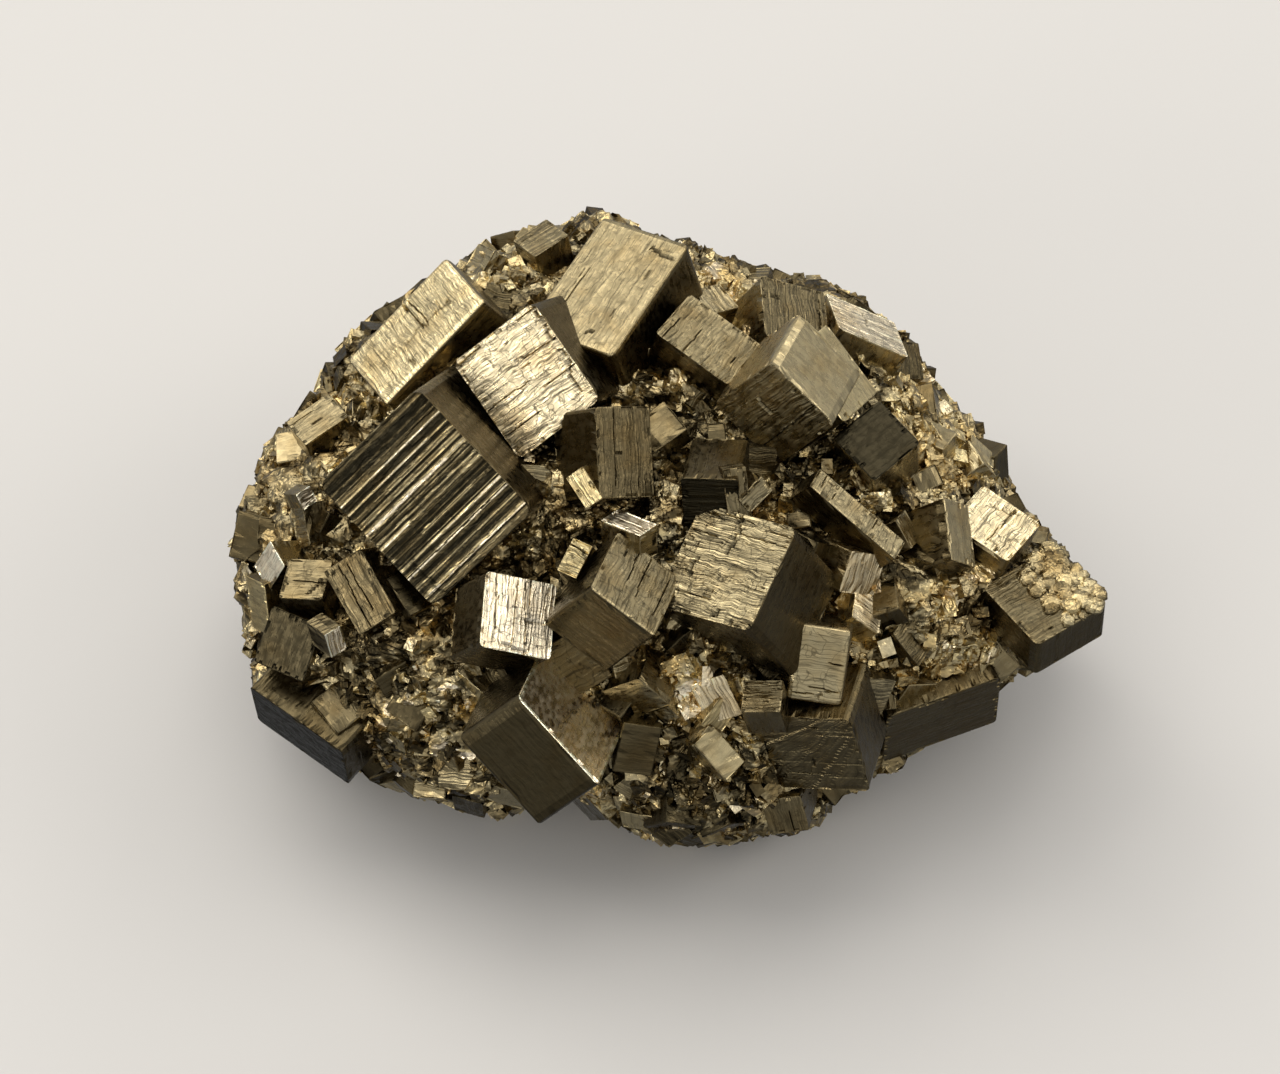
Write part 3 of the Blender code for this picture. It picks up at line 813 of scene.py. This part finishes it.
def pyrite_finish(name, settings, grainy):
    """Natural pyrite as it grew: a pale brass-yellow metal, striated and etched on its faces and lightly
    tarnished, so that each face catches the light as one soft, streaky mirror. The tone value
    sets how bright a face's lustre is painted, a painted reflection, and relief paints shade into its grooves
    and a painted highlight on its rims and high places. Striation and cracks follow the growth ridges, and the
    striation is also painted as light and dark stripes; a granular surface has an even etch instead, bumped and
    painted as glints and shade, so that it sparkles in points."""
    material = bpy.data.materials.new(name)
    material.use_nodes = True
    tree = material.node_tree
    surface = tree.nodes["Principled BSDF"]
    read = {label: add_node(tree, "ShaderNodeAttribute", attribute_name=label).outputs["Fac"]
            for label in LABELS}
    place = add_node(tree, "ShaderNodeTexCoord").outputs["Object"]
    # The ramp turns the painted lustre into colour, from the painted shade of the darkest faces to the painted
    # highlight of the brightest
    lustre = add_node(tree, "ShaderNodeValToRGB", {"Fac": read["tone"]})
    stops = ((0.0, settings.dark_colour), (0.28, settings.brown_colour), (0.52, settings.grey_colour),
             (0.76, settings.gold_colour), (1.0, settings.bright_colour))
    elements = lustre.color_ramp.elements
    while len(elements) < len(stops):
        elements.new(0.5)
    for element, (position, hex_colour) in zip(elements, stops):
        element.position = position
        element.color = linear(hex_colour)
    # Tarnish lies in soft patches of two or three millimetres, more of it on the grains
    patches = add_node(tree, "ShaderNodeTexNoise", {"Vector": place, "Scale": 380.0, "Detail": 2.0,
                                                    "Roughness": 0.65})
    low, strength = (0.40, 1.5) if grainy else (0.46, 1.0)
    patch = add_node(tree, "ShaderNodeMapRange", {"Value": patches, "From Min": low, "From Max": low + 0.24,
                                                  "To Max": settings.tarnish * strength})
    # A colour mix takes its factor, first and second colour at places 0, 6 and 7 and gives the result at 2
    tinted = add_node(tree, "ShaderNodeMix", {0: patch, 6: lustre, 7: linear(settings.tarnish_colour)},
                      data_type="RGBA", blend_type="MULTIPLY").outputs[2]
    # Painted shade darkens the low places of the relief and a painted highlight brightens the high ones
    shade = add_node(tree, "ShaderNodeMapRange", {"Value": read["relief"], "From Max": 1.3, "To Min": 0.40,
                                                  "To Max": 1.22})
    if grainy:
        # The skin of the grains is etched at about half a millimetre
        height = add_node(tree, "ShaderNodeTexNoise", {"Vector": place, "Scale": 2200.0, "Detail": 2.0,
                                                       "Roughness": 0.45})
        etch = height
        # The etch is also painted into the colour: its high spots as painted glints, its low ones as painted
        # shade
        spots = add_node(tree, "ShaderNodeMapRange", {"Value": height, "From Min": 0.35, "From Max": 0.65,
                                                      "To Min": 0.70, "To Max": 1.2})
        shade = add_node(tree, "ShaderNodeMath", {0: shade, 1: spots}, operation="MULTIPLY")
        bump_depth = 0.20 * MM
    else:
        # The face's own places are in millimetres. The lines bend by about a quarter of a millimetre
        # over one and a half.
        flat = add_node(tree, "ShaderNodeUVMap", uv_map="face")
        slow = add_node(tree, "ShaderNodeMapping", {"Vector": flat, "Scale": (0.7, 0.7, 1.0)})
        bend = add_node(tree, "ShaderNodeTexNoise", {"Vector": slow, "Scale": 1.0, "Detail": 1.0},
                        noise_dimensions="2D")
        wavy = add_node(tree, "ShaderNodeVectorMath", {0: bend, 1: (0.45, 0.0, 0.0), 2: flat},
                        operation="MULTIPLY_ADD")
        # Striation, down to 0.05 mm in nature and drawn at 0.2 mm so that it shows
        fine = add_node(tree, "ShaderNodeMapping", {"Vector": wavy, "Scale": (5.0, 0.14, 1.0)})
        striae = add_node(tree, "ShaderNodeTexNoise", {"Vector": fine, "Scale": 1.0, "Detail": 2.0,
                                                       "Roughness": 0.6}, noise_dimensions="2D")
        swing = add_node(tree, "ShaderNodeMapRange", {"Value": striae, "From Min": 0.34, "From Max": 0.66,
                                                      "To Min": -0.18, "To Max": 0.18})
        striping = add_node(tree, "ShaderNodeMath", {0: swing, 1: read["stripe"]}, operation="MULTIPLY")
        # The striation is also painted into the colour as light and dark stripes: painted shade of the ridges
        painted_stripe_shade = add_node(tree, "ShaderNodeMath", {0: shade, 1: striping, 2: shade},
                           operation="MULTIPLY_ADD")
        # Hairline cracks along the ridges and, fewer, across them, 0.05 mm wide and drawn at 0.1 mm,
        # lie where a noise crosses its middle
        clear = read["crack"]
        for spread, width in (((1.8, 0.13, 1.0), 0.036), ((0.5, 0.9, 1.0), 0.020)):
            drawn = add_node(tree, "ShaderNodeMapping", {"Vector": wavy, "Scale": spread})
            web = add_node(tree, "ShaderNodeTexNoise", {"Vector": drawn, "Scale": 1.0, "Detail": 2.0,
                                                        "Roughness": 0.55}, noise_dimensions="2D")
            side = add_node(tree, "ShaderNodeMath", {0: web, 1: 0.5}, operation="SUBTRACT")
            gap = add_node(tree, "ShaderNodeMath", {0: side}, operation="ABSOLUTE")
            off_line = add_node(tree, "ShaderNodeMapRange", {"Value": gap, "From Max": width})
            clear = add_node(tree, "ShaderNodeMath", {0: clear, 1: off_line}, operation="MULTIPLY")
        cracked = add_node(tree, "ShaderNodeMath", {0: read["crack"], 1: clear}, operation="SUBTRACT")
        kept = add_node(tree, "ShaderNodeMath", {0: cracked, 1: -0.8, 2: 1.0}, operation="MULTIPLY_ADD")
        shade = add_node(tree, "ShaderNodeMath", {0: painted_stripe_shade, 1: kept}, operation="MULTIPLY")
        # The etched skin has dimples of about half a millimetre, which scatter the highlights
        skin = add_node(tree, "ShaderNodeMapping", {"Vector": flat, "Scale": (2.4, 1.6, 1.0)})
        etch = add_node(tree, "ShaderNodeTexNoise", {"Vector": skin, "Scale": 1.0, "Detail": 2.0,
                                                     "Roughness": 0.5}, noise_dimensions="2D")
        height = add_node(tree, "ShaderNodeMath", {0: etch, 1: 0.18, 2: striping}, operation="MULTIPLY_ADD")
        bump_depth = 0.13 * MM
    colour = add_node(tree, "ShaderNodeMix", {0: 1.0, 6: tinted, 7: shade}, data_type="RGBA",
                      blend_type="MULTIPLY").outputs[2]
    tree.links.new(colour, surface.inputs["Base Color"])
    bump = add_node(tree, "ShaderNodeBump", {"Height": height, "Strength": 1.0, "Distance": bump_depth})
    tree.links.new(bump.outputs["Normal"], surface.inputs["Normal"])
    polish = add_node(tree, "ShaderNodeMapRange", {"Value": etch, "From Min": 0.3, "From Max": 0.7,
                                                   "To Min": settings.roughness - 0.10,
                                                   "To Max": settings.roughness + 0.14})
    tree.links.new(polish.outputs["Result"], surface.inputs["Roughness"])
    surface.inputs["Metallic"].default_value = 1.0
    return material


def claim(piece):
    """The piece stands for the solid, on the one body."""
    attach(piece, "root")
    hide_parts(NODE)


class SpecimenSettings(bpy.types.PropertyGroup):
    """Sizes and colours of the pyrite specimen"""

    ridge_depth: FloatProperty(name="Ridge depth", description="Depth of the growth ridges on a face",
                               default=0.10 * MM, min=0.0, unit="LENGTH")
    edge_wear: FloatProperty(name="Edge wear", description="Rounding of the crystals' edges",
                             default=0.12 * MM, min=0.0, unit="LENGTH")
    grain_low: FloatProperty(name="Smallest grain", description="Edge of the smallest druse crystal",
                             default=0.30 * MM, min=0.0, unit="LENGTH")
    grain_high: FloatProperty(name="Largest grain", description="Edge of the largest druse crystal",
                              default=1.10 * MM, min=0.0, unit="LENGTH")
    front_grains: IntProperty(name="Front grains", description="Druse crystals on the seen side",
                              default=6500, min=0)
    rear_grains: IntProperty(name="Rear grains", description="Druse crystals on the side turned away",
                             default=4600, min=0)
    roughness: FloatProperty(name="Roughness", description="Roughness of a crystal face",
                             default=0.27, min=0.0, max=1.0, subtype="FACTOR")
    tarnish: FloatProperty(name="Tarnish", description="Strength of the tarnish patches",
                           default=0.34, min=0.0, max=1.0, subtype="FACTOR")
    bright_colour: StringProperty(name="Bright face", description="sRGB hex colour of the brightest faces",
                                  default="FFF1D4")
    gold_colour: StringProperty(name="Gold face", description="sRGB hex colour of the golden faces",
                                default="DDCA97")
    grey_colour: StringProperty(name="Grey face", description="sRGB hex colour of the middle faces",
                                default="B0A27E")
    brown_colour: StringProperty(name="Brown face", description="sRGB hex colour of the dull faces",
                                 default="6B5F44")
    dark_colour: StringProperty(name="Dark face", description="sRGB hex colour of the darkest faces",
                                default="2F2B20")
    tarnish_colour: StringProperty(name="Tarnish colour", description="sRGB hex tint of the tarnish",
                                   default="D9BB78")
    floor_colour: StringProperty(name="Floor colour", description="sRGB hex colour of the stage floor",
                                 default="C8C6C3")
    light_colour: StringProperty(name="Light colour", description="sRGB hex colour of the softboxes",
                                 default="FFFAF2")
    light_strength: FloatProperty(name="Light strength", description="Brightness of all softboxes together",
                                  default=1.0, min=0.0)


class SPECIMEN_OT_mass(bpy.types.Operator):
    """Model the lumpy mass that the crystals grow from, and the finer crust on its seen side"""

    bl_idname = "specimen.mass"
    bl_label = "Granular Mass"

    def execute(self, context):
        settings = context.scene.pyrite_specimen
        # The slopes of the flat grains come from the noise module's own state, which needs a fixed seed
        noise.seed_set(SEED)
        material = pyrite_finish("natural pyrite, granular growth", settings, True)
        directions, triangles = sphere_mesh(7)
        surface = Surface()
        lowered = np.where(directions[:, 2] > 0.1, CRUST_LIFT, 0.0)
        add_grains(surface, directions, triangles, MASS_GRAINS, lowered)
        claim(surface.make_object("granular_mass", material))
        directions, triangles = sphere_mesh(8)
        # The crust covers the seen side, but not what lies under the large crystals
        near = directions[:, 2] > -0.02
        bare = near & ~on_crystals(mass_flats(directions), CRUST_MARGIN)
        seen = bare[triangles].any(axis=1) & near[triangles].all(axis=1)
        kept, triangles = np.unique(triangles[seen], return_inverse=True)
        directions = directions[kept]
        surface = Surface()
        sink = np.clip(0.12 - directions[:, 2], 0.0, 0.14) / 0.14 * CRUST_SINK
        add_grains(surface, directions, triangles.reshape(-1, 3), CRUST_GRAINS, sink)
        claim(surface.make_object("granular_crust", material))
        return {"FINISHED"}


class SPECIMEN_OT_cubes(bpy.types.Operator):
    """Model the large striated crystals of the seen side"""

    bl_idname = "specimen.cubes"
    bl_label = "Striated Crystals"

    def execute(self, context):
        settings = context.scene.pyrite_specimen
        material = pyrite_finish("natural pyrite, striated growth", settings, False)
        source = random.Random(SEED + 5)
        surface = Surface()
        pieces = []
        for crystal in CRYSTALS:
            centre, edge_a, edge_b = face_edges(crystal)
            block = (centre, edge_a, edge_b, -face_normal(edge_a, edge_b) * crystal.thick * MM)
            wear = WORN_EDGES[crystal.name] * MM if crystal.name in WORN_EDGES else settings.edge_wear
            add_crystal(surface, source, block, crystal.ridges, (crystal.tone, crystal.side_tone),
                        crystal.finish, (FACE_CELL, SIDE_CELL), settings.ridge_depth, wear)
            if surface.face_count > PIECE_FACES or crystal is CRYSTALS[-1]:
                pieces.append(surface.make_object(f"striated_crystals_{len(pieces) + 1}", material))
                surface = Surface()
        if not pieces:
            raise RuntimeError("no striated crystals were made")
        for piece in pieces:
            claim(piece)
        return {"FINISHED"}


class SPECIMEN_OT_small_crystals(bpy.types.Operator):
    """Model the small crystals between the large ones and the crystals of the rear"""

    bl_idname = "specimen.small_crystals"
    bl_label = "Small Crystals"

    def execute(self, context):
        settings = context.scene.pyrite_specimen
        material = pyrite_finish("natural pyrite, small striated crystals", settings, False)
        placing = random.Random(SEED + 1)
        source = random.Random(SEED + 6)
        groups = (
            ("small_front_crystals", FRONT_TRIES, FRONT_EDGE, True, SMALL_CELL),
            ("rear_crystals", REAR_TRIES, REAR_EDGE, False, REAR_CELL),
            ("small_rear_crystals", REAR_SMALL_TRIES, REAR_SMALL_EDGE, False, SMALL_REAR_CELL),
        )
        for name, tries, edges, front, cell in groups:
            surface = Surface()
            for block in scattered_blocks(tries, edges, front, placing):
                mean, spread = patch_tone(block[0]) if front else REAR_TONE
                tone = min(max(source.gauss(mean, spread), LOWEST_TONE), HIGHEST_TONE)
                # The sides of a small crystal get a painted shade, darker than its face
                tones_and_painted_light = (tone, tone * source.uniform(0.4, 0.8))
                finish = source.choice(SMALL_FINISHES)
                add_crystal(surface, source, block, source.choice("ab"), tones_and_painted_light, finish, (cell, cell),
                            settings.ridge_depth, settings.edge_wear)
            claim(surface.make_object(name, material))
        return {"FINISHED"}


class SPECIMEN_OT_druse(bpy.types.Operator):
    """Model the sparkling crust of tiny crystals on the mass"""

    bl_idname = "specimen.druse"
    bl_label = "Druse"

    def execute(self, context):
        settings = context.scene.pyrite_specimen
        material = pyrite_finish("natural pyrite, druse growth", settings, True)
        rng = np.random.default_rng(SEED)
        corners = np.array([[x, y, z] for z in (-0.5, 0.5) for y in (-0.5, 0.5) for x in (-0.5, 0.5)])
        sides = np.array([[0, 2, 3, 1], [4, 5, 7, 6], [0, 1, 5, 4], [2, 6, 7, 3], [0, 4, 6, 2], [1, 3, 7, 5]])
        growth = settings.grain_high / settings.grain_low
        for name, count, front in (("druse_front", settings.front_grains, True),
                                   ("druse_rear", settings.rear_grains, False)):
            surface = Surface()
            made = 0
            while made < count:
                direction = Vector(rng.normal(size=3)).normalized()
                if direction.z < -0.12 if front else direction.z > 0.0:
                    continue
                made += 1
                size = settings.grain_low * growth ** (rng.random() ** 1.7)
                stretch = rng.uniform(0.6, 1.4, size=3) * size
                turn = np.linalg.qr(rng.normal(size=(3, 3)))[0]
                if np.linalg.det(turn) < 0.0:
                    turn[:, 0] *= -1.0
                tone_draw = rng.normal()
                start = rng.uniform(0.0, 90.0, size=2)
                point = lumpy_point(direction)
                if point.z < 0.25 * MM or not inside_outline(point):
                    continue
                if front and covered(mass_flat(direction), -0.05):
                    continue
                tone, spread = patch_tone(point)
                if front and size < FINE_GRAIN and (tone, spread) == OPEN_TONE_WITH_PAINTED_SHADE:
                    continue
                tone = min(max(tone + tone_draw * spread, LOWEST_TONE), 1.0)
                point -= (point - CENTRE).normalized() * size * GRAIN_SINK
                places = np.array(point) + (corners * stretch) @ turn.T
                surface.add(places, sides, corners[:, :2] * size / MM + start, (tone, 0.9, 0.0, 0.0))
            claim(surface.make_object(name, material))
        return {"FINISHED"}


class SPECIMEN_OT_pebbles(bpy.types.Operator):
    """Model the rounded pebbles of pyrite on the flanks and on the wing"""

    bl_idname = "specimen.pebbles"
    bl_label = "Pebbles"

    def execute(self, context):
        settings = context.scene.pyrite_specimen
        source = random.Random(SEED + 8)
        builder = bmesh.new()
        bmesh.ops.create_cube(builder, size=2.0)
        bmesh.ops.subdivide_edges(builder, edges=builder.edges, cuts=2, use_grid_fill=True)
        builder.verts.index_update()
        ball = np.array([vertex.co.normalized()[:] for vertex in builder.verts])
        quads = np.array([[vertex.index for vertex in face.verts] for face in builder.faces])
        builder.free()
        spots = []
        for middle_x, middle_y, half_x, half_y, count in PEBBLE_PATCHES:
            for _ in range(count):
                x = middle_x + half_x * source.uniform(-1.0, 1.0)
                y = middle_y + half_y * source.uniform(-1.0, 1.0)
                point = lumpy_point(mass_direction((x, y)))
                spots.append((point, (point - CENTRE).normalized()))
        wing = next(crystal for crystal in CRYSTALS if crystal.name == "right wing block")
        centre, edge_a, edge_b = face_edges(wing)
        normal = face_normal(edge_a, edge_b)
        for _ in range(WING_PEBBLES):
            share_a = 0.5 - 0.55 * source.random() ** 1.5
            spots.append((centre + edge_a * share_a + edge_b * source.uniform(-0.5, 0.5), normal))
        surface = Surface()
        for point, outward in spots:
            size = source.uniform(*PEBBLE_EDGE)
            if not inside_outline(point) or point.z < size:
                continue
            tangent = outward.orthogonal().normalized()
            tangent.rotate(Matrix.Rotation(source.uniform(0.0, math.pi), 3, outward))
            stretch = source.uniform(0.6, 1.1)
            axes = np.array([tangent * stretch, outward.cross(tangent), outward * PEBBLE_FLATNESS])
            lumps = np.array([1.0 + PEBBLE_LUMPS * noise.noise(Vector(spot) * 1.7 + point / MM)
                              for spot in ball])
            places = np.array(point) + (ball * lumps[:, None]) @ (axes * size / 2.0)
            mean = max(patch_tone(point)[0], 0.5)
            tone = min(max(source.gauss(mean, 0.10), 0.2), 0.95)
            # A pebble's top is painted lighter and its underside darker: painted light from above
            level = np.clip(0.55 + 0.6 * ball[:, 2], 0.0, 1.2)
            surface.add(places, quads, places[:, :2] / MM, (tone, level, 0.0, 0.0))
        material = pyrite_finish("natural pyrite, pebbly growth", settings, True)
        claim(surface.make_object("pebbles", material))
        return {"FINISHED"}


class SPECIMEN_OT_stage(bpy.types.Operator):
    """Set up the floor, the soft lights and the camera"""

    bl_idname = "specimen.stage"
    bl_label = "Stage"

    def execute(self, context):
        settings = context.scene.pyrite_specimen
        scene = context.scene
        bpy.ops.mesh.primitive_plane_add(size=FLOOR_SIZE, location=(0.0, 0.0, LOW.z - FLOOR_GAP))
        floor = context.object
        floor.name = "floor"
        floor.visible_glossy = False
        # Rough pressed fibres scatter the light evenly, so the paper has no highlight
        paper = bpy.data.materials.new("matt pressed paper")
        paper.use_nodes = True
        finish = paper.node_tree.nodes["Principled BSDF"]
        finish.inputs["Base Color"].default_value = linear(settings.floor_colour)
        finish.inputs["Roughness"].default_value = 0.9
        floor.data.materials.append(paper)

        for name, turn, height, width, tall, brightness in SOFTBOXES:
            level = math.cos(math.radians(height)) * LIGHT_DISTANCE
            place = (level * math.sin(math.radians(turn)), level * math.cos(math.radians(turn)),
                     math.sin(math.radians(height)) * LIGHT_DISTANCE)
            lamp = bpy.data.lights.new(name, "AREA")
            lamp.shape = "RECTANGLE"
            lamp.size = width
            lamp.size_y = tall
            lamp.color = linear(settings.light_colour)[:3]
            lamp.energy = brightness * settings.light_strength * math.pi * width * tall
            holder = bpy.data.objects.new(name, lamp)
            holder.location = place
            holder.rotation_euler = (Vector(place) - CENTRE).to_track_quat("Z", "Y").to_euler()
            scene.collection.objects.link(holder)

        world = bpy.data.worlds.new("studio")
        world.use_nodes = True
        tree = world.node_tree
        sky = add_node(tree, "ShaderNodeTexCoord")
        height = add_node(tree, "ShaderNodeSeparateXYZ", {"Vector": sky.outputs["Generated"]})
        strength = add_node(tree, "ShaderNodeMapRange", {
            "Value": height.outputs["Z"], "From Min": ROOM_HEIGHTS[0], "From Max": ROOM_HEIGHTS[1],
            "To Min": ROOM_LEVELS[0], "To Max": ROOM_LEVELS[1]})
        room = tree.nodes["Background"]
        room.inputs["Color"].default_value = (1.0, 1.0, 1.0, 1.0)
        tree.links.new(strength.outputs["Result"], room.inputs["Strength"])
        scene.world = world
        scene.view_settings.view_transform = "Standard"

        camera = bpy.data.cameras.new("front camera")
        camera.sensor_width = SENSOR_WIDTH
        camera.lens = SENSOR_WIDTH * VIEW_DISTANCE / (PICTURE_WIDTH / PIXELS_PER_MM * MM)
        camera.clip_start = 10.0 * MM
        camera.clip_end = 10.0
        viewer = bpy.data.objects.new("front camera", camera)
        axes = Matrix((RIGHT, UP, TOWARD)).transposed().to_4x4()
        axes.translation = PICTURE_TARGET + TOWARD * VIEW_DISTANCE
        viewer.matrix_world = axes
        scene.collection.objects.link(viewer)
        scene.camera = viewer
        return {"FINISHED"}


OPERATORS = (
    SPECIMEN_OT_mass,
    SPECIMEN_OT_cubes,
    SPECIMEN_OT_small_crystals,
    SPECIMEN_OT_druse,
    SPECIMEN_OT_pebbles,
    SPECIMEN_OT_stage,
)


class SPECIMEN_PT_panel(bpy.types.Panel):
    """Build the pyrite specimen piece by piece"""

    bl_idname = "SPECIMEN_PT_panel"
    bl_label = "Pyrite Specimen"
    bl_space_type = "VIEW_3D"
    bl_region_type = "UI"
    bl_category = "Pyrite"

    def draw(self, context):
        settings = context.scene.pyrite_specimen
        for operator in OPERATORS:
            self.layout.operator(operator.bl_idname)
        for label in SpecimenSettings.__annotations__:
            self.layout.prop(settings, label)


CLASSES = (SpecimenSettings,) + OPERATORS + (SPECIMEN_PT_panel,)


def register():
    """Register the classes and attach the settings to the scene."""
    for item in CLASSES:
        bpy.utils.register_class(item)
    bpy.types.Scene.pyrite_specimen = PointerProperty(type=SpecimenSettings)


def unregister():
    """Remove the settings and the classes."""
    del bpy.types.Scene.pyrite_specimen
    for item in reversed(CLASSES):
        bpy.utils.unregister_class(item)


def main():
    """Build every piece in order."""
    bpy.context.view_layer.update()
    register()
    for operator in OPERATORS:
        group, label = operator.bl_idname.split(".")
        getattr(getattr(bpy.ops, group), label)()


if __name__ == "__main__":
    main()
